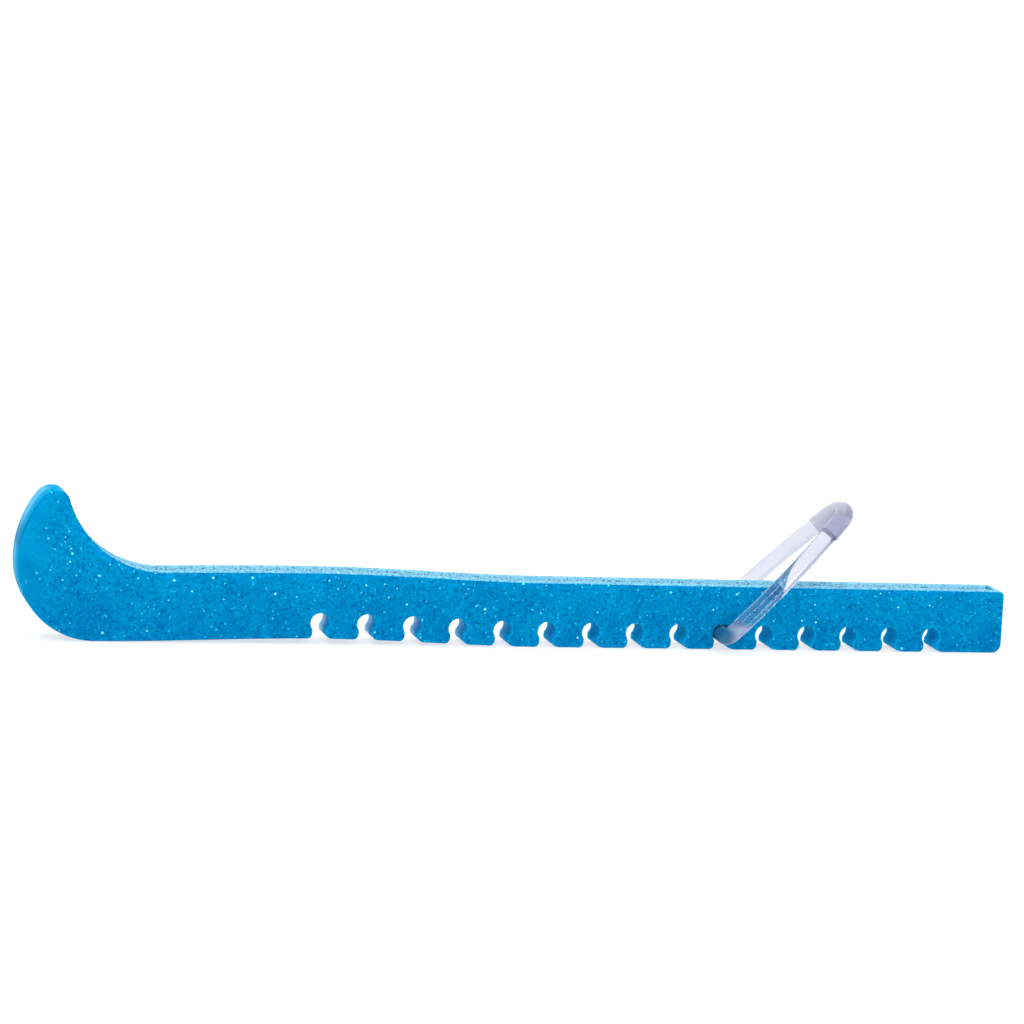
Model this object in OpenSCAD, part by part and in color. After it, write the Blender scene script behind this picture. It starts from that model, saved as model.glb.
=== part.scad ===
// Ice skate blade guard: one flexible moulding with a strap loop hooked in a notch under it.
// Toe hook at -X, heel at +X, width along Y, resting on Z = 0.

/* [Guard] */
// Overall length, toe hook to heel (mm)
guard_l = 330; // [318:1:360]
// Width across the guard (mm)
guard_w = 10; // [9.4:0.1:10.4]
// Height of the straight part (mm)
body_h = 21.1; // [20.5:0.1:25]
// Rise of the underside under the front notches (mm)
arch_h = 1.7; // [0:0.05:2.5]

/* [Blade slot] */
// Width of the slot for the blade (mm)
slot_w = 4.4; // [3.4:0.1:5.4]
// Depth of the slot below the rim (mm)
slot_d = 10.8; // [9:0.1:11]
// Thickness of the wall that closes the heel (mm)
heel_wall = 4.5; // [3:0.1:8]

/* [Toe hook] */
// Radius of the inner curve of the hook (mm)
hook_r = 31.9; // [31.5:0.1:32.2]
// Angle covered by the toe pick pocket (degrees)
pocket_turn = 66; // [40:1:68]

/* [Notches] */
// Number of notches that can take the strap
notch_n = 15; // [11:1:15]
// Distance between notches (mm)
notch_pitch = 14.91; // [13:0.01:15]
// Radius of the round seat (mm)
seat_r = 3.1; // [3.0:0.05:3.3]
// Height of the seat centre above the underside (mm)
seat_z = 5.1; // [5:0.1:5.6]

/* [Strap] */
// Notch that holds the strap, counted from the toe
strap_notch = 10; // [4:1:11]
// Thickness of the strap (mm)
cord_d = 5.4; // [4:0.1:5.5]
// Distance between the strap's legs at the guard, centre to centre (mm)
strap_w = 20.8; // [18:0.1:22]
// Lean of the strap above the guard (degrees)
strap_lean = 45.6; // [32:0.2:148]
// Radius of the bends beside the guard (mm)
bend_r = 3; // [2.9:0.1:3.6]
// Outer diameter of the end sleeve (mm)
sleeve_d = 6.2; // [6:0.1:7]

/* [Hidden] */
$fn = 64;

toe_x = -guard_l / 2;
heel_x = guard_l / 2;

// Arch of the underside and of the rim, highest at arch_x
arch_x = toe_x + 96;
arch_heel = 73;
arch_toe = 74;
rim_toe = 108;
function hump(x, toe_run) =
    let (run = x < arch_x ? toe_run : arch_heel, t = (x - arch_x) / run)
    abs(t) < 1 ? arch_h * (1 + cos(180 * t)) / 2 : 0;
function sole_z(x) = hump(x, arch_toe);
function rim_z(x) = body_h + hump(x, rim_toe);
function sole_tilt(x) = atan(sole_z(x + 0.5) - sole_z(x - 0.5));

function arc(cx, cz, r, a0, a1, n) =
    [for (i = [0 : n]) let (a = a0 + (a1 - a0) * i / n) [cx + r * cos(a), cz + r * sin(a)]];

// Toe hook: inner curve, nose, brow, back and belly, each tangent to the next
hook_cx = toe_x + 44.9;
hook_cz = rim_z(hook_cx) + hook_r;
hook_top = rim_z(hook_cx) + 24.4;
belly_r = 24.9;
back_r = 33.6;
nose_r = 4.2;
brow_r = 5.8;
nose_cz = hook_top - nose_r;
nose_cx = hook_cx - sqrt(pow(hook_r + nose_r, 2) - pow(nose_cz - hook_cz, 2));
nose_a = atan2(nose_cz - hook_cz, nose_cx - hook_cx) + 360;
back_cx = toe_x + back_r;
brow_cz = hook_top - brow_r;
brow_cx = back_cx - sqrt(pow(back_r - brow_r, 2) - pow(brow_cz - belly_r, 2));
brow_a = atan2(brow_cz - belly_r, brow_cx - back_cx);

// Heel: end face leaning back a little, with rounded corners
heel_lean = 3.4;
heel_r = 3;
heel_top_r = 2.2;
heel_cx = heel_x - heel_r;
heel_top_cz = body_h - heel_top_r;
heel_top_cx = heel_cx
    + (heel_r - heel_top_r - sin(heel_lean) * (heel_top_cz - heel_r)) / cos(heel_lean);

sole_x0 = toe_x + belly_r;
arch_steps = 60;
arch_end = arch_x + arch_heel;

// Notch mouth: lip on the toe side, tongue and ramp on the heel side
notch_x0 = toe_x + 95.25;
function notch_x(i) = notch_x0 + notch_pitch * i;
lip_x = 2.3;
lip_r = 1.6;
tongue_x = 2.2;
tongue_z = 1;
ramp_first = 3.4;
ramp_last = 3.8;

// Strap loop: bar, side bend, lower leg, upper leg and outer bight, each tangent to the next.
// u runs along the strap from the seat, y across it, both from the middle of the bar.
strap_x = notch_x(strap_notch - 1);
strap_z = sole_z(strap_x) + seat_z;
leg_flare = 2;
leg_r = 110;
waist_r = 190;
waist_turn = 14.2;
sleeve_turn = 1.7;
ring_n = 24;
leg_y = strap_w / 2;
bar_y = leg_y - bend_r * cos(leg_flare);
leg_u = bend_r * (1 - sin(leg_flare));
waist_u = leg_u + leg_r * sin(leg_flare);
waist_y = leg_y + leg_r * (1 - cos(leg_flare));
bight_u = waist_u + waist_r * sin(waist_turn);
bight_y = waist_y - waist_r * (1 - cos(waist_turn));
bight_r = bight_y / cos(waist_turn);
apex_u = bight_u + bight_r * (1 - sin(waist_turn));

// Sections along one arc of radius r that starts at u, y with heading b0 and ends at heading b1
function bend(u, y, r, b0, b1, n) =
    [for (i = [0 : n]) let (b = b0 + (b1 - b0) * i / n)
        [u + r * (cos(b0) - cos(b)), y + r * (sin(b) - sin(b0)), b]];
function from_second(path) = [for (i = [1 : len(path) - 1]) path[i]];
function to_last_but_one(path) = [for (i = [0 : len(path) - 2]) path[i]];
function reversed(path) = [for (i = [len(path) - 1 : -1 : 0]) path[i]];
function other_side(k) = [k[0], -k[1], 360 - k[2]];

// One side of the loop, from heading 0 beside the bar, or from a point t degrees up the waist
function half_loop(t) = concat(
    t > 0 ? [] : bend(0, bar_y, bend_r, 0, 90 - leg_flare, 10),
    t > 0 ? [] : from_second(bend(leg_u, leg_y, leg_r, 90 - leg_flare, 90, 6)),
    t > 0
        ? bend(waist_u + waist_r * sin(t), waist_y - waist_r * (1 - cos(t)), waist_r,
            90 + t, 90 + waist_turn, 2)
        : from_second(bend(waist_u, waist_y, waist_r, 90, 90 + waist_turn, 8)),
    from_second(to_last_but_one(bend(bight_u, bight_y, bight_r, 90 + waist_turn, 180, 11)))
);

module across(w) {
    rotate([90, 0, 0])
        linear_extrude(height = w, center = true)
            children();
}

module guard_outline() {
    polygon(concat(
        [for (i = [0 : arch_steps])
            let (x = sole_x0 + (arch_end - sole_x0) * i / arch_steps) [x, sole_z(x)]],
        arc(heel_cx, heel_r, heel_r, 270, 360 + heel_lean, 16),
        arc(heel_top_cx, heel_top_cz, heel_top_r, heel_lean, 90, 14),
        [for (i = [0 : arch_steps])
            let (x = arch_end + (hook_cx - arch_end) * i / arch_steps) [x, rim_z(x)]],
        arc(hook_cx, hook_cz, hook_r, 270, nose_a, 36),
        arc(nose_cx, nose_cz, nose_r, nose_a - 180, 90, 16),
        arc(brow_cx, brow_cz, brow_r, 90, brow_a, 14),
        arc(back_cx, belly_r, back_r, brow_a, 180, 16),
        arc(sole_x0, belly_r, belly_r, 180, 269, 40)
    ));
}

// Slot along the top, running on as a pocket up the inside of the hook
module slot_outline() {
    slot_end = heel_x - heel_wall;
    polygon(concat(
        [for (i = [0 : arch_steps])
            let (x = hook_cx + (arch_end - hook_cx) * i / arch_steps) [x, rim_z(x) - slot_d]],
        [[slot_end, body_h - slot_d], [slot_end, body_h + hook_r], [hook_cx, hook_cz]]
    ));
    polygon(concat(
        arc(hook_cx, hook_cz, hook_r + slot_d, 270 - pocket_turn, 270, 36),
        [[hook_cx, hook_cz]]
    ));
}

// Round seat open to the underside through a narrower mouth that holds the strap in
module notch_outline(ramp_x) {
    drop = 1;
    translate([0, seat_z])
        circle(r = seat_r);
    polygon(concat(
        [[-lip_x - lip_r, -drop]],
        arc(-lip_x - lip_r, lip_r, lip_r, 270, 360, 8),
        [[-lip_x, seat_z], [tongue_x, seat_z], [tongue_x, tongue_z], [ramp_x, 0],
         [ramp_x + drop, -drop]]
    ));
}

module guard_body() {
    color([0.03, 0.55, 0.82])
        difference() {
            across(guard_w)
                guard_outline();
            across(slot_w)
                slot_outline();
            across(guard_w + 2)
                for (i = [0 : notch_n - 1])
                    translate([notch_x(i), sole_z(notch_x(i))])
                        rotate(sole_tilt(notch_x(i)))
                            notch_outline(ramp_first + (ramp_last - ramp_first) * i / notch_n);
        }
}

module in_strap_plane() {
    translate([strap_x, 0, strap_z])
        rotate([0, -strap_lean, 0])
            children();
}

// Section k is [u, y, b]: centre in the plane of the strap and heading away from +Y
function ring(k, r) =
    [for (j = [0 : ring_n - 1]) let (t = 360 * j / ring_n)
        [k[0] - r * cos(t) * cos(k[2]), k[1] + r * cos(t) * sin(k[2]), r * sin(t)]];
function rings(path, r) = [for (k = path) each ring(k, r)];
function skin(n, at) =
    [for (i = [0 : n - 1], j = [0 : ring_n - 1])
        let (a = at + i * ring_n, jn = (j + 1) % ring_n)
        each [[a + j, a + ring_n + jn, a + jn], [a + j, a + ring_n + j, a + ring_n + jn]]];

module strap_cord() {
    path = concat([[0, 0, 0]], half_loop(0), [[apex_u, 0, 180]],
        [for (k = reversed(half_loop(0))) other_side(k)]);
    n = len(path);
    last = (n - 1) * ring_n;
    closing = [for (j = [0 : ring_n - 1]) let (jn = (j + 1) % ring_n)
        each [[last + j, jn, last + jn], [last + j, j, jn]]];
    color([0.88, 0.89, 0.95])
        in_strap_plane()
            polyhedron(points = rings(path, cord_d / 2), faces = concat(skin(n - 1, 0), closing));
}

module strap_end_sleeve() {
    half = half_loop(waist_turn - sleeve_turn);
    path = concat(half, [[apex_u, 0, 180]], [for (k = reversed(half)) other_side(k)]);
    n = len(path);
    inner = n * ring_n;
    last = (n - 1) * ring_n;
    bore = [for (f = skin(n - 1, inner)) [f[0], f[2], f[1]]];
    lips = [for (j = [0 : ring_n - 1]) let (jn = (j + 1) % ring_n)
        each [[j, jn, inner + jn], [j, inner + jn, inner + j],
            [last + j, inner + last + jn, last + jn], [last + j, inner + last + j, inner + last + jn]]];
    color([0.66, 0.69, 0.8])
        in_strap_plane()
            polyhedron(points = concat(rings(path, sleeve_d / 2), rings(path, cord_d / 2)),
                faces = concat(skin(n - 1, 0), bore, lips));
}

guard_body();
strap_cord();
strap_end_sleeve();
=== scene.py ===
import math

import bmesh
import bpy
from mathutils import Matrix, Vector


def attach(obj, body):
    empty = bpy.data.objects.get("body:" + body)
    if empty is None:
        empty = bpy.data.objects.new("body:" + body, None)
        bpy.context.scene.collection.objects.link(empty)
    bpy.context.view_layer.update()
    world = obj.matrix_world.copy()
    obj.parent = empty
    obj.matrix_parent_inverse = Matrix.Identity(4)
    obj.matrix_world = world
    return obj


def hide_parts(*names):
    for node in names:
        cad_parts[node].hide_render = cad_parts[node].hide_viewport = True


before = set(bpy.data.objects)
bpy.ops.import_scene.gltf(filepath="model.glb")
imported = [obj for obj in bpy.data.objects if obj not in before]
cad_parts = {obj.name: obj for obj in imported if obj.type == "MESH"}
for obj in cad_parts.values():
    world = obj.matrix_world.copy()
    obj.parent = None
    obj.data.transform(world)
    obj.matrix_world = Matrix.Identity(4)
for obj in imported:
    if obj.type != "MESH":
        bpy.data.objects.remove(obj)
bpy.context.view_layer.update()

MM = 0.001
scene = bpy.context.scene
scene.view_settings.view_transform = "Standard"


# ---------------------------------------------------------------- camera
def aim_camera(azimuth, elevation, roll, distance, lens, target):
    a, e, r = (math.radians(v) for v in (azimuth, elevation, roll))
    back = Vector((math.sin(a) * math.cos(e), -math.cos(a) * math.cos(e), math.sin(e)))
    right = (-back).cross(Vector((0, 0, 1))).normalized()
    up = right.cross(-back)
    x = right * math.cos(r) + up * math.sin(r)
    y = up * math.cos(r) - right * math.sin(r)
    data = bpy.data.cameras.new("camera")
    data.lens = lens
    data.sensor_width = 36
    data.clip_start = 0.01
    data.clip_end = 50
    cam = bpy.data.objects.new("camera", data)
    scene.collection.objects.link(cam)
    m = Matrix((x, y, back)).transposed().to_4x4()
    m.translation = Vector(target) + back * distance
    cam.matrix_world = m
    scene.camera = cam


aim_camera(-19.0, 10.98, 5.28, 1.0302, 115.07, (-0.009, 0.0, 0.0425))


# ---------------------------------------------------------------- the guard's shape, in mm
GUARD_L, GUARD_W, BODY_H, ARCH_H = 330.0, 10.0, 21.1, 1.7
SLOT_W, SLOT_D, HEEL_WALL = 4.4, 10.8, 4.5
HOOK_R, POCKET_TURN = 31.9, 66.0
NOTCHES, PITCH, SEAT_R, SEAT_Z = 15, 14.91, 3.1, 5.1
TOE, HEEL = -GUARD_L / 2, GUARD_L / 2
ARCH_X = TOE + 96
ARCH_HEEL, ARCH_TOE, RIM_TOE = 73.0, 74.0, 108.0
BELLY_R, BACK_R, NOSE_R, BROW_R = 24.9, 33.6, 4.2, 5.8
NOTCH_X0 = TOE + 95.25
LIP_X, LIP_R, TONGUE_X, TONGUE_Z = 2.3, 1.6, 2.2, 1.0
RAMP_FIRST, RAMP_GROWTH = 3.4, 0.4
HEEL_LOW_R, HEEL_TOP_R, HEEL_LEAN, HEEL_BULGE = 3.0, 2.2, 3.4, 0.8
EDGE_R, SEAT_EDGE_R, TONGUE_EDGE_R, SLOT_LIP_R = 0.65, 0.42, 0.26, 0.45


def hump(x, toe_run):
    t = (x - ARCH_X) / (toe_run if x < ARCH_X else ARCH_HEEL)
    return ARCH_H * (1 + math.cos(math.pi * t)) / 2 if abs(t) < 1 else 0.0


def sole_z(x):
    return hump(x, ARCH_TOE)


def rim_z(x):
    return BODY_H + hump(x, RIM_TOE)


def arc(cx, cz, r, a0, a1, n):
    return [
        (cx + r * math.cos(math.radians(a0 + (a1 - a0) * i / n)),
         cz + r * math.sin(math.radians(a0 + (a1 - a0) * i / n)))
        for i in range(n + 1)
    ]


def resampled(points, step):
    """Points every step along an open line, both ends kept."""
    run = [0.0]
    for a, b in zip(points, points[1:]):
        run.append(run[-1] + math.dist(a, b))
    n = max(2, round(run[-1] / step))
    out, k = [], 0
    for i in range(n + 1):
        s = run[-1] * i / n
        while k < len(points) - 2 and run[k + 1] < s:
            k += 1
        t = (s - run[k]) / max(1e-9, run[k + 1] - run[k])
        out.append(tuple(p + (q - p) * t for p, q in zip(points[k], points[k + 1])))
    return out


def smoothed(points, rounds):
    """An open line with its corners worn round, both ends kept."""
    for _ in range(rounds):
        mid = [
            tuple((p + 2 * q + s) / 4 for p, q, s in zip(a, b, c))
            for a, b, c in zip(points, points[1:], points[2:])
        ]
        points = [points[0]] + mid + [points[-1]]
    return points


HOOK_X, HOOK_RISE = 44.9, 24.4
HOOK_CX = TOE + HOOK_X
HOOK_CZ = rim_z(HOOK_CX) + HOOK_R
HOOK_TOP = rim_z(HOOK_CX) + HOOK_RISE


def notch_line(i):
    """Outline of one notch, from the sole on the toe side to the sole on the heel side."""
    far = i / NOTCHES
    ramp_x = RAMP_FIRST + RAMP_GROWTH * far
    swell = 1.2 + far
    lip_a = 180 + math.degrees(math.acos(LIP_X / SEAT_R))
    tongue_a = -math.degrees(math.acos(TONGUE_X / SEAT_R))
    line = [(-LIP_X - LIP_R - 0.8, 0.0), (-LIP_X - LIP_R, 0.0)]
    line += arc(-LIP_X - LIP_R, LIP_R, LIP_R, 270, 360, 6)
    line += arc(0, SEAT_Z, SEAT_R, lip_a, tongue_a, 48)
    line += [(TONGUE_X, TONGUE_Z)]
    line += [(ramp_x - 0.35 * swell, 0.22 * swell), (ramp_x + 0.55 * swell, 0.0), (ramp_x + swell, 0.0)]
    line = smoothed(resampled(line, 0.22), 4)
    x0 = NOTCH_X0 + PITCH * i
    tilt = math.atan(sole_z(x0 + 0.5) - sole_z(x0 - 0.5))
    c, s = math.cos(tilt), math.sin(tilt)
    return [(x0 + x * c - z * s, sole_z(x0) + x * s + z * c) for x, z in line], x0


def span(x0, x1, height, step):
    n = max(1, round(abs(x1 - x0) / step))
    return [(x0 + (x1 - x0) * k / n, height(x0 + (x1 - x0) * k / n)) for k in range(n + 1)]


def guard_outline():
    """Points round the guard, counter-clockwise, each with the radius of the edge beside it."""
    out = []

    def add(points, size=EDGE_R):
        for p in points:
            if not out or math.dist(out[-1][0], p) > 0.05:
                out.append((p, size))

    x = TOE + BELLY_R
    for i in range(NOTCHES):
        line, x0 = notch_line(i)
        add(span(x, line[0][0], sole_z, 2.0))
        tip = (x0 + TONGUE_X, sole_z(x0) + TONGUE_Z)
        for p in line:
            near = min(1.0, max(0.0, (math.dist(p, tip) - 0.8) / 1.6))
            add([p], TONGUE_EDGE_R + (SEAT_EDGE_R - TONGUE_EDGE_R) * near)
        x = line[-1][0]
    low_x, low_z = HEEL - HEEL_LOW_R, HEEL_LOW_R
    add(span(x, low_x, sole_z, 2.0))
    lean = math.radians(HEEL_LEAN)
    top_z = BODY_H - HEEL_TOP_R
    top_x = low_x + (HEEL_BULGE - math.sin(lean) * (top_z - low_z)) / math.cos(lean)
    add(arc(low_x, low_z, HEEL_LOW_R, 270, 360 + HEEL_LEAN, 12))
    add(arc(top_x, top_z, HEEL_TOP_R, HEEL_LEAN, 90, 10))
    add(span(top_x, HOOK_CX, rim_z, 2.5))
    nose_z = HOOK_TOP - NOSE_R
    nose_x = HOOK_CX - math.sqrt((HOOK_R + NOSE_R) ** 2 - (nose_z - HOOK_CZ) ** 2)
    nose_a = math.degrees(math.atan2(nose_z - HOOK_CZ, nose_x - HOOK_CX)) + 360
    back_x = TOE + BACK_R
    brow_z = HOOK_TOP - BROW_R
    brow_x = back_x - math.sqrt((BACK_R - BROW_R) ** 2 - (brow_z - BELLY_R) ** 2)
    brow_a = math.degrees(math.atan2(brow_z - BELLY_R, brow_x - back_x))
    add(arc(HOOK_CX, HOOK_CZ, HOOK_R, 270, nose_a, 56))
    add(arc(nose_x, nose_z, NOSE_R, nose_a - 180, 90, 16))
    add(arc(brow_x, brow_z, BROW_R, 90, brow_a, 14))
    add(arc(back_x, BELLY_R, BACK_R, brow_a, 180, 22))
    add(arc(TOE + BELLY_R, BELLY_R, BELLY_R, 180, 269.5, 48))
    return out


def inward(points):
    """Unit normals into a counter-clockwise outline, stretched a little at its corners."""
    out = []
    n = len(points)
    for i, p in enumerate(points):
        a, b = points[i - 1], points[(i + 1) % n]
        u = Vector((p[0] - a[0], p[1] - a[1])).normalized()
        v = Vector((b[0] - p[0], b[1] - p[1])).normalized()
        normal = Vector((-u.y - v.y, u.x + v.x)).normalized()
        half = max(0.75, normal.dot(Vector((-u.y, u.x))))
        out.append(normal / half)
    return out


def mesh_object(name, verts, faces):
    mesh = bpy.data.meshes.new(name)
    mesh.from_pydata([tuple(c * MM for c in v) for v in verts], [], faces)
    mesh.validate()
    mesh.update()
    obj = bpy.data.objects.new(name, mesh)
    scene.collection.objects.link(obj)
    return obj


def rounded_slab(name, outline, half_w, steps=5):
    """The outline carried across Y, its two long edges rounded by each point's own radius."""
    points = [p for p, _ in outline]
    sizes = [s for _, s in outline]
    normals = inward(points)
    n = len(points)
    rings = []
    for side in (-1, 1):
        order = range(steps, -1, -1) if side < 0 else range(steps + 1)
        for j in order:
            t = math.pi / 2 * j / steps
            rings.append([
                (p[0] + m.x * s * (1 - math.cos(t)), side * (half_w - s * (1 - math.sin(t))),
                 p[1] + m.y * s * (1 - math.cos(t)))
                for p, m, s in zip(points, normals, sizes)
            ])
    verts = [v for ring in rings for v in ring]
    faces = [
        (k * n + i, k * n + (i + 1) % n, (k + 1) * n + (i + 1) % n, (k + 1) * n + i)
        for k in range(len(rings) - 1) for i in range(n)
    ]
    faces.append(tuple(range(n - 1, -1, -1)))
    faces.append(tuple(range((len(rings) - 1) * n, len(rings) * n)))
    obj = mesh_object(name, verts, faces)
    face_outward(obj)
    return obj


def face_outward(obj):
    bm = bmesh.new()
    bm.from_mesh(obj.data)
    bmesh.ops.recalc_face_normals(bm, faces=bm.faces)
    bm.to_mesh(obj.data)
    bm.free()


def prism(name, points, half_w):
    n = len(points)
    verts = [(x, -half_w, z) for x, z in points] + [(x, half_w, z) for x, z in points]
    faces = [(i, (i + 1) % n, n + (i + 1) % n, n + i) for i in range(n)]
    faces += [tuple(range(n - 1, -1, -1)), tuple(range(n, 2 * n))]
    obj = mesh_object(name, verts, faces)
    face_outward(obj)
    return obj


def slot_prism():
    end = HEEL - HEEL_WALL
    points = arc(HOOK_CX, HOOK_CZ, HOOK_R + SLOT_D, 270 - POCKET_TURN, 270, 40)
    points += span(HOOK_CX, end, lambda x: rim_z(x) - SLOT_D, 3.0)[1:]
    points += [(end, BODY_H + HOOK_R), (HOOK_CX, HOOK_CZ)]
    return prism("slot_cut", points, SLOT_W / 2)


def rim_flare():
    """Rounds the slot's two inner lips, all along the rim and up the hook."""
    r = SLOT_LIP_R
    path = [((x, z), (0.0, 1.0)) for x, z in span(HEEL - HEEL_WALL + 0.3, HOOK_CX + 1, rim_z, 3.0)]
    for x, z in arc(HOOK_CX, HOOK_CZ, HOOK_R, 270, 270 - POCKET_TURN, 40):
        path.append(((x, z), ((HOOK_CX - x) / HOOK_R, (HOOK_CZ - z) / HOOK_R)))
    half = SLOT_W / 2
    lip = [(half + r - r * math.cos(t), -r + r * math.sin(t))
           for t in (math.pi / 2 * k / 5 for k in range(6))]
    profile = [(half - 0.7, -1.2)] + lip + [(half + r, 1.2)]
    profile += [(-y, h) for y, h in reversed(profile)]
    n = len(profile)
    verts = [(x + nx * h, y, z + nz * h) for (x, z), (nx, nz) in path for y, h in profile]
    faces = [
        (k * n + i, k * n + (i + 1) % n, (k + 1) * n + (i + 1) % n, (k + 1) * n + i)
        for k in range(len(path) - 1) for i in range(n)
    ]
    faces += [tuple(range(n)), tuple(range(len(verts) - 1, len(verts) - n - 1, -1))]
    obj = mesh_object("flare_cut", verts, faces)
    face_outward(obj)
    return obj


def cut(obj, tool):
    mod = obj.modifiers.new("cut", "BOOLEAN")
    mod.operation = "DIFFERENCE"
    mod.solver = "EXACT"
    mod.object = tool
    shape = bpy.data.meshes.new_from_object(obj.evaluated_get(bpy.context.evaluated_depsgraph_get()))
    obj.modifiers.remove(mod)
    obj.data = shape
    bpy.data.objects.remove(tool, do_unlink=True)


def finish_surface(obj, angle):
    bm = bmesh.new()
    bm.from_mesh(obj.data)
    bmesh.ops.remove_doubles(bm, verts=bm.verts, dist=2e-6)
    bmesh.ops.dissolve_degenerate(bm, edges=bm.edges, dist=1e-6)
    bm.to_mesh(obj.data)
    bm.free()
    for poly in obj.data.polygons:
        poly.use_smooth = True
    obj.data.set_sharp_from_angle(angle=math.radians(angle))
    weighted = obj.modifiers.new("even_normals", "WEIGHTED_NORMAL")
    weighted.keep_sharp = True


# ---------------------------------------------------------------- the strap's shape, in mm
STRAP_NOTCH = 9
STRAP_X = NOTCH_X0 + PITCH * STRAP_NOTCH
STRAP_Z = sole_z(STRAP_X) + SEAT_Z
STRAP_LEAN = 45.6
CORD_R, SLEEVE_R, SLEEVE_GAP = 2.7, 3.1, 0.03
BEND_R, LEG_FLARE, LEG_R = 3.0, 2.0, 110.0
WAIST_R, WAIST_TURN, SLEEVE_TURN = 190.0, 14.2, 1.7
LEG_Y = 10.4
BAR_Y = LEG_Y - BEND_R * math.cos(math.radians(LEG_FLARE))


def bend(start, r, b0, b1, n):
    """Sections (u, y, heading) along an arc that starts at (u, y)."""
    u, y = start
    out = []
    for i in range(n + 1):
        b = b0 + (b1 - b0) * i / n
        out.append((
            u + r * (math.cos(math.radians(b0)) - math.cos(math.radians(b))),
            y + r * (math.sin(math.radians(b)) - math.sin(math.radians(b0))), b))
    return out


def half_loop(sleeve_only=False):
    low = bend((0, BAR_Y), BEND_R, 0, 90 - LEG_FLARE, 16)
    leg = bend(low[-1][:2], LEG_R, 90 - LEG_FLARE, 90, 4)
    waist = bend(leg[-1][:2], WAIST_R, 90, 90 + WAIST_TURN, 28)
    end = waist[-1]
    bight_r = end[1] / math.cos(math.radians(WAIST_TURN))
    bight = bend(end[:2], bight_r, 90 + WAIST_TURN, 180, 24)
    if sleeve_only:
        t = math.radians(WAIST_TURN - SLEEVE_TURN)
        at = (leg[-1][0] + WAIST_R * math.sin(t), leg[-1][1] - WAIST_R * (1 - math.cos(t)))
        waist = bend(at, WAIST_R, 90 + WAIST_TURN - SLEEVE_TURN, 90 + WAIST_TURN, 6)
        return waist + bight[1:]
    bar = [(0, BAR_Y * k / 4, 0) for k in range(4)]
    return bar + low + leg[1:] + waist[1:] + bight[1:]


def other_side(path):
    return [(u, -y, 360 - b) for u, y, b in reversed(path)]


def strap_point(u, y, w):
    a = math.radians(STRAP_LEAN)
    return (STRAP_X + u * math.cos(a) - w * math.sin(a), y, STRAP_Z + u * math.sin(a) + w * math.cos(a))


def tube_ring(section, r, sides):
    u, y, b = section
    b = math.radians(b)
    return [
        strap_point(u - r * math.cos(t) * math.cos(b),
                    y + r * math.cos(t) * math.sin(b), r * math.sin(t))
        for t in (2 * math.pi * j / sides for j in range(sides))
    ]


def skin(rows, sides, first=0, closed=False):
    out = []
    for i in range(rows if closed else rows - 1):
        a, b = first + i * sides, first + ((i + 1) % rows) * sides
        for j in range(sides):
            k = (j + 1) % sides
            out.append((a + j, a + k, b + k, b + j))
    return out


def make_cord(sides=40):
    path = half_loop()
    path = path + other_side(path)[1:-1]
    verts = [v for s in path for v in tube_ring(s, CORD_R, sides)]
    obj = mesh_object("strap_loop", verts, skin(len(path), sides, closed=True))
    face_outward(obj)
    return obj


def make_sleeve(sides=40):
    """A tube open at both ends, its two rims rounded."""
    half = half_loop(sleeve_only=True)
    path = half + other_side(half)[1:]
    bore = CORD_R + SLEEVE_GAP
    wall = SLEEVE_R - CORD_R - SLEEVE_GAP
    mid = bore + wall / 2
    rows = []
    first, last = path[0], path[-1]
    for t in (90, 60, 30):
        a = math.radians(t)
        rows.append((first, mid + wall / 2 * math.cos(a), -wall / 2 * math.sin(a)))
    rows += [(s, SLEEVE_R, 0) for s in path]
    for t in (30, 60, 90, 120, 150):
        a = math.radians(t)
        rows.append((last, mid + wall / 2 * math.cos(a), wall / 2 * math.sin(a)))
    rows += [(s, bore, 0) for s in reversed(path)]
    for t in (150, 120):
        a = math.radians(t)
        rows.append((first, mid + wall / 2 * math.cos(a), -wall / 2 * math.sin(a)))
    verts = []
    for (u, y, b), r, along in rows:
        h = math.radians(b)
        verts += tube_ring((u + along * math.sin(h), y + along * math.cos(h), b), r, sides)
    obj = mesh_object("strap_sleeve", verts, skin(len(rows), sides, closed=True))
    face_outward(obj)
    return obj


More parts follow.
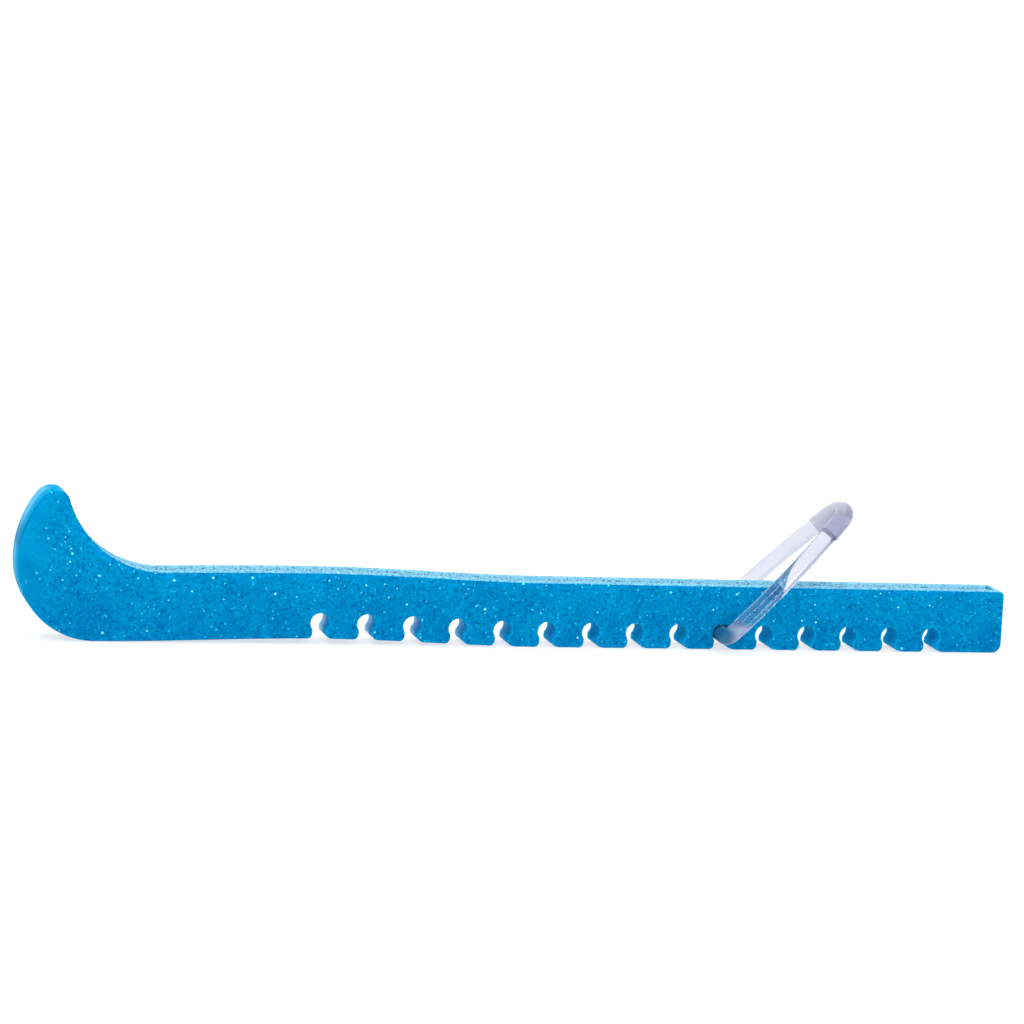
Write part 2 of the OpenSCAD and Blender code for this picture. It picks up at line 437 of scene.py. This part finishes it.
# ---------------------------------------------------------------- materials
class Nodes:
    """Short calls for building a material's node tree."""

    def __init__(self, name):
        self.mat = bpy.data.materials.new(name)
        self.mat.use_nodes = True
        self.tree = self.mat.node_tree
        self.tree.nodes.clear()
        self.out = self.add("ShaderNodeOutputMaterial")
        self.shader = self.add("ShaderNodeBsdfPrincipled")
        self.link(self.shader.outputs[0], self.out.inputs["Surface"])
        self.where = self.add("ShaderNodeTexCoord").outputs["Object"]

    def add(self, kind):
        return self.tree.nodes.new(kind)

    def link(self, a, b):
        self.tree.links.new(a, b)

    def put(self, socket, value):
        if hasattr(value, "is_output"):
            self.link(value, socket)
        else:
            socket.default_value = value

    def math(self, op, a, b=0.0, clamp=False):
        n = self.add("ShaderNodeMath")
        n.operation = op
        n.use_clamp = clamp
        self.put(n.inputs[0], a)
        self.put(n.inputs[1], b)
        return n.outputs[0]

    def ramp(self, value, low, high):
        n = self.add("ShaderNodeMapRange")
        n.interpolation_type = "SMOOTHSTEP"
        self.put(n.inputs["Value"], value)
        n.inputs["From Min"].default_value = low
        n.inputs["From Max"].default_value = high
        return n.outputs[0]

    def mix(self, factor, a, b):
        n = self.add("ShaderNodeMix")
        n.data_type = "RGBA"
        self.put(n.inputs["Factor"], factor)
        self.put(n.inputs["A"], a)
        self.put(n.inputs["B"], b)
        return n.outputs["Result"]

    def noise(self, per_mm, detail=2.0, rough=0.5, offset=0.0):
        n = self.add("ShaderNodeTexNoise")
        n.noise_dimensions = "4D"
        n.inputs["W"].default_value = offset
        n.inputs["Scale"].default_value = per_mm / MM
        n.inputs["Detail"].default_value = detail
        n.inputs["Roughness"].default_value = rough
        self.link(self.where, n.inputs["Vector"])
        return n.outputs["Fac"]

    def cells(self, per_mm, offset=0.0):
        n = self.add("ShaderNodeTexVoronoi")
        n.voronoi_dimensions = "4D"
        n.inputs["W"].default_value = offset
        n.inputs["Scale"].default_value = per_mm / MM
        self.link(self.where, n.inputs["Vector"])
        return n.outputs["Distance"], n.outputs["Color"]

    def parts(self, vector):
        n = self.add("ShaderNodeSeparateXYZ")
        self.link(vector, n.inputs[0])
        return n.outputs

    def bump(self, height, strength, distance_mm, normal=None):
        n = self.add("ShaderNodeBump")
        n.inputs["Strength"].default_value = strength
        n.inputs["Distance"].default_value = distance_mm * MM
        self.link(height, n.inputs["Height"])
        if normal is not None:
            self.link(normal, n.inputs["Normal"])
        return n.outputs[0]


def rgb(r, g, b):
    """sRGB bytes to the linear colour a shader takes."""
    return tuple(
        c / 12.92 if c <= 0.04045 else ((c + 0.055) / 1.055) ** 2.4 for c in (r / 255, g / 255, b / 255)
    ) + (1.0,)


def in_slot(m, x, z):
    """One inside the blade slot's outline seen from the side, nought outside it."""
    dx = m.math("SUBTRACT", x, HOOK_CX * MM)
    dz = m.math("SUBTRACT", z, HOOK_CZ * MM)
    reach = m.math("SQRT", m.math("ADD", m.math("MULTIPLY", dx, dx), m.math("MULTIPLY", dz, dz)))
    turn = math.radians(270 - POCKET_TURN)
    past = m.math("ADD", m.math("MULTIPLY", dx, -math.sin(turn)),
                  m.math("MULTIPLY", dz, math.cos(turn)))
    pocket = m.math("MULTIPLY", m.math("LESS_THAN", reach, (HOOK_R + SLOT_D + 0.05) * MM),
                    m.math("GREATER_THAN", past, -0.05 * MM))
    run = m.math("MULTIPLY", m.math("GREATER_THAN", dx, 0.0),
                 m.math("LESS_THAN", x, (HEEL - HEEL_WALL + 0.05) * MM))
    run = m.math("MULTIPLY", run, m.math("GREATER_THAN", z, (BODY_H - SLOT_D - 0.4) * MM))
    return m.math("MAXIMUM", pocket, run)


def glitter_pvc():
    """Translucent blue PVC full of glitter, painted pale along its upward edges and inside its slot as
    painted light.
    """
    m = Nodes("glitter_pvc")
    x, y, z = m.parts(m.where)
    face = m.add("ShaderNodeNewGeometry")
    nx, _, nz = m.parts(face.outputs["Normal"])

    clouds = m.ramp(m.noise(0.11, 3, 0.55), 0.3, 0.7)
    height = m.ramp(z, 0.0, 0.036)
    lightness = m.math("ADD", m.math("MULTIPLY", clouds, 0.45), m.math("MULTIPLY", height, 0.55))
    color = m.mix(lightness, rgb(0, 122, 178), rgb(0, 152, 204))

    # grain, fading out in the solid front of the hook
    full = m.math("ADD", 0.25, m.math("MULTIPLY", m.ramp(x, (TOE + 4) * MM, (TOE + 13) * MM), 0.75))
    grain = m.noise(1.1, 3, 0.7, 2.0)
    dark = m.math("MULTIPLY", m.ramp(grain, 0.5, 0.36), full)
    light = m.math("MULTIPLY", m.ramp(grain, 0.54, 0.68), full)
    color = m.mix(m.math("MULTIPLY", dark, 0.75), color, rgb(0, 88, 152))
    color = m.mix(m.math("MULTIPLY", light, 0.55), color, rgb(6, 172, 224))

    # small dark and light flakes
    d, c = m.cells(1.15, 3.0)
    pick, _, _ = m.parts(c)
    flake = m.math("MULTIPLY", m.ramp(d, 0.45, 0.3), full)
    dark = m.math("MULTIPLY", flake, m.math("GREATER_THAN", pick, 0.86))
    light = m.math("MULTIPLY", flake, m.math("LESS_THAN", pick, 0.12))
    color = m.mix(m.math("MULTIPLY", dark, 0.7), color, rgb(0, 70, 132))
    color = m.mix(m.math("MULTIPLY", light, 0.75), color, rgb(40, 196, 238))

    # painted light: upward edges painted pale as if lit from above; slot walls painted pale near the
    # rim, fading to the body's blue deeper down; dark flecks showing through
    inside = m.math("MULTIPLY", m.ramp(m.math("ABSOLUTE", y), 0.00235, 0.00222), in_slot(m, x, z))
    deep = m.ramp(z, 0.0205, 0.0135)
    painted_light_mottle = m.ramp(m.noise(0.9, 2, 0.6, 5.0), 0.38, 0.62)
    painted_top_light = m.mix(painted_light_mottle, rgb(96, 162, 198), rgb(140, 202, 230))
    slot = m.mix(m.math("MULTIPLY", deep, 0.8), rgb(176, 220, 240), rgb(10, 126, 186))
    top = m.math("MULTIPLY", m.ramp(nz, 0.4, 0.8), m.ramp(z, 0.040, 0.028))
    top = m.math("MULTIPLY", top, m.ramp(x, (TOE + 13) * MM, (TOE + 27) * MM))
    color = m.mix(m.math("MULTIPLY", top, 0.92), color, painted_top_light)
    color = m.mix(inside, color, slot)
    fleck = m.ramp(m.noise(1.4, 2, 0.6, 9.0), 0.47, 0.39)
    fleck = m.math("MULTIPLY", fleck, m.math("MAXIMUM", top, inside))
    color = m.mix(m.math("MULTIPLY", fleck, 0.75), color, rgb(20, 92, 132))

    # painted light: the hook's back is painted pale as if glowing, and the notch walls less and less
    # towards the heel; both are painted on the +Y side only
    back = m.math("MULTIPLY", m.ramp(nx, -0.1, -0.6), m.ramp(z, 0.012, 0.034))
    back = m.math("MULTIPLY", back, m.ramp(y, -0.003, 0.001))
    color = m.mix(m.math("MULTIPLY", back, 0.8), color, rgb(96, 178, 226))
    low = m.ramp(z, 0.0105, 0.0095)
    low = m.math("MULTIPLY", low, m.ramp(x, (NOTCH_X0 - 8) * MM, (NOTCH_X0 - 4) * MM))
    wall = m.math("MULTIPLY", m.ramp(nx, -0.1, -0.6), low)
    pale = m.math("MULTIPLY", m.ramp(x, 0.02, -0.07), m.ramp(y, -0.0015, 0.002))
    glow = m.mix(pale, rgb(0, 156, 216), rgb(178, 222, 246))
    color = m.mix(m.math("MULTIPLY", wall, 0.85), color, glow)

    # painted shade: thin dark lines where an edge turns down or turns to the heel; a thin dark line too
    # where an edge starts to turn up
    down = m.math("MULTIPLY", m.ramp(nz, -0.2, -0.7), m.ramp(z, 0.005, 0.003))
    turn = m.math("MAXIMUM", down, m.ramp(nx, 0.3, 0.7))
    brink = m.math("MULTIPLY", m.ramp(nz, 0.03, 0.16), m.ramp(nz, 0.42, 0.2))
    brink = m.math("MULTIPLY", brink, m.ramp(z, 0.014, 0.017))
    color = m.mix(m.math("MULTIPLY", m.math("MAXIMUM", turn, brink), 0.6), color, rgb(0, 92, 142))

    # sparse bright flakes, denser just under the rim
    crowd = m.math("MULTIPLY", m.ramp(z, 0.015, 0.0205), full)
    spark = 0.0
    for size, offset, least in ((0.66, 7.0, 0.982), (1.0, 11.0, 0.97)):
        d, c = m.cells(size, offset)
        pick, _, _ = m.parts(c)
        enough = m.math("SUBTRACT", least, m.math("MULTIPLY", crowd, 0.12))
        chosen = m.math("GREATER_THAN", pick, enough)
        spark = m.math("MAXIMUM", spark, m.math("MULTIPLY", m.ramp(d, 0.36, 0.22), chosen))
    color = m.mix(m.math("MULTIPLY", spark, full), color, rgb(120, 228, 250))

    m.put(m.shader.inputs["Base Color"], color)
    m.put(m.shader.inputs["Roughness"], m.math("SUBTRACT", 0.38, m.math("MULTIPLY", spark, 0.2)))
    m.shader.inputs["Specular IOR Level"].default_value = 0.002
    m.shader.inputs["IOR"].default_value = 1.5
    m.shader.inputs["Subsurface Weight"].default_value = 0.6
    m.shader.inputs["Subsurface Radius"].default_value = (0.3, 0.9, 1.0)
    m.shader.inputs["Subsurface Scale"].default_value = 4.0 * MM
    small = m.bump(m.noise(2.4, 2, 0.6, 4.0), 0.25, 0.05)
    m.put(m.shader.inputs["Normal"], m.bump(m.noise(0.2, 1, 0.5, 6.0), 0.2, 0.15, small))
    return m.mat


def clear_pvc(name, haze, ripple):
    """Clear moulded PVC with faint ripples and fine scuffs; the caller sets its colour."""
    m = Nodes(name)
    streak = m.noise(0.16, 2, 0.5)
    scuff = m.noise(1.6, 3, 0.7, 3.0)
    worn = m.math("MULTIPLY", m.ramp(scuff, 0.5, 0.75), 0.07)
    m.put(m.shader.inputs["Roughness"], m.math("ADD", haze, worn))
    fine = m.bump(scuff, 0.06, 0.04)
    m.put(m.shader.inputs["Normal"], m.bump(streak, ripple, 0.6, fine))
    return m, m.ramp(streak, 0.3, 0.7), m.parts(m.where)


def strap_pvc():
    """Lavender above the guard, clearer beside it; in its bottom bend less clear, painted blue for the
    guard seen through it in the notch's shade, and lavender past the bar.
    """
    m, streak, (x, _, z) = clear_pvc("clear_pvc", 0.06, 0.25)
    upper = m.mix(streak, rgb(210, 212, 228), rgb(218, 220, 233))
    color = m.mix(m.ramp(z, 0.0215, 0.016), upper, rgb(236, 246, 250))
    # bottom bend: painted light, blue standing in for the guard seen through the strap in the notch's
    # shade, lavender past the bar; the bend is made less clear so this colour shows
    low = m.ramp(z, 0.0105, 0.0075)
    past_bar = m.ramp(x, (STRAP_X - 1) * MM, (STRAP_X + 3) * MM)
    painted_light_in_bend = m.mix(past_bar, rgb(44, 124, 168), rgb(176, 190, 222))
    m.put(m.shader.inputs["Base Color"], m.mix(low, color, painted_light_in_bend))
    clear = m.math("SUBTRACT", 1.0, m.math("MULTIPLY", low, 0.55))
    m.put(m.shader.inputs["Transmission Weight"], clear)
    m.shader.inputs["IOR"].default_value = 1.33
    return m.mat


def sleeve_pvc():
    """Greyer lavender than the strap, with painted light and shade: palest on its far side, darker on
    its near side.
    """
    m, streak, (_, y, _) = clear_pvc("clear_sleeve", 0.05, 0.15)
    # painted light and shade: the near side a darker lavender, the far (+Y) side painted pale
    near = m.mix(streak, rgb(200, 203, 228), rgb(210, 212, 233))
    m.put(m.shader.inputs["Base Color"], m.mix(m.ramp(y, -0.006, 0.002), near, rgb(234, 235, 245)))
    m.shader.inputs["Transmission Weight"].default_value = 0.65
    m.shader.inputs["IOR"].default_value = 1.33
    return m.mat


# ---------------------------------------------------------------- pieces
guard = rounded_slab("guard_moulding", guard_outline(), GUARD_W / 2)
cut(guard, slot_prism())
cut(guard, rim_flare())
finish_surface(guard, 38)
guard.data.materials.clear()
guard.data.materials.append(glitter_pvc())
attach(guard, "guard")
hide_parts("guard_body")

loop = make_cord()
finish_surface(loop, 60)
loop.data.materials.append(strap_pvc())
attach(loop, "strap")
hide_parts("strap_cord")

sleeve = make_sleeve()
finish_surface(sleeve, 60)
sleeve.data.materials.append(sleeve_pvc())
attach(sleeve, "strap")
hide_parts("strap_end_sleeve")


# ---------------------------------------------------------------- floor and light
def make_floor():
    """A pale floor lit evenly from below as well, like a light table."""
    r = 40.0
    mesh = bpy.data.meshes.new("floor")
    n = 48
    turns = [2 * math.pi * k / n for k in range(n)]
    ring = [(r * math.cos(t), r * math.sin(t), 0.0) for t in turns]
    mesh.from_pydata(ring, [], [tuple(range(n))])
    obj = bpy.data.objects.new("floor", mesh)
    obj.location.z = -0.0001
    scene.collection.objects.link(obj)
    m = Nodes("floor")
    dull, pale = (0.36, 0.36, 0.36, 1.0), (0.38, 0.38, 0.38, 1.0)
    m.put(m.shader.inputs["Base Color"], m.mix(m.noise(0.02), dull, pale))
    m.shader.inputs["Roughness"].default_value = 0.9
    m.shader.inputs["Specular IOR Level"].default_value = 0.1
    m.shader.inputs["Emission Color"].default_value = (1.0, 1.0, 1.0, 1.0)
    m.shader.inputs["Emission Strength"].default_value = 0.66
    mesh.materials.append(m.mat)


def softbox(name, where, aim, size, power):
    data = bpy.data.lights.new(name, "AREA")
    data.shape = "RECTANGLE"
    data.size, data.size_y = size
    data.energy = power
    obj = bpy.data.objects.new(name, data)
    obj.location = where
    obj.rotation_euler = (Vector(aim) - Vector(where)).to_track_quat("-Z", "Y").to_euler()
    scene.collection.objects.link(obj)


make_floor()
world = bpy.data.worlds.new("studio")
world.use_nodes = True
world.node_tree.nodes["Background"].inputs["Color"].default_value = (1.0, 1.0, 1.0, 1.0)
world.node_tree.nodes["Background"].inputs["Strength"].default_value = 1.08
scene.world = world
softbox("key", (-0.5, -0.9, 1.1), (0.0, 0.0, 0.0), (0.35, 0.35), 4.0)
softbox("top", (0.2, 0.1, 1.2), (0.0, 0.0, 0.0), (1.0, 0.5), 4.0)
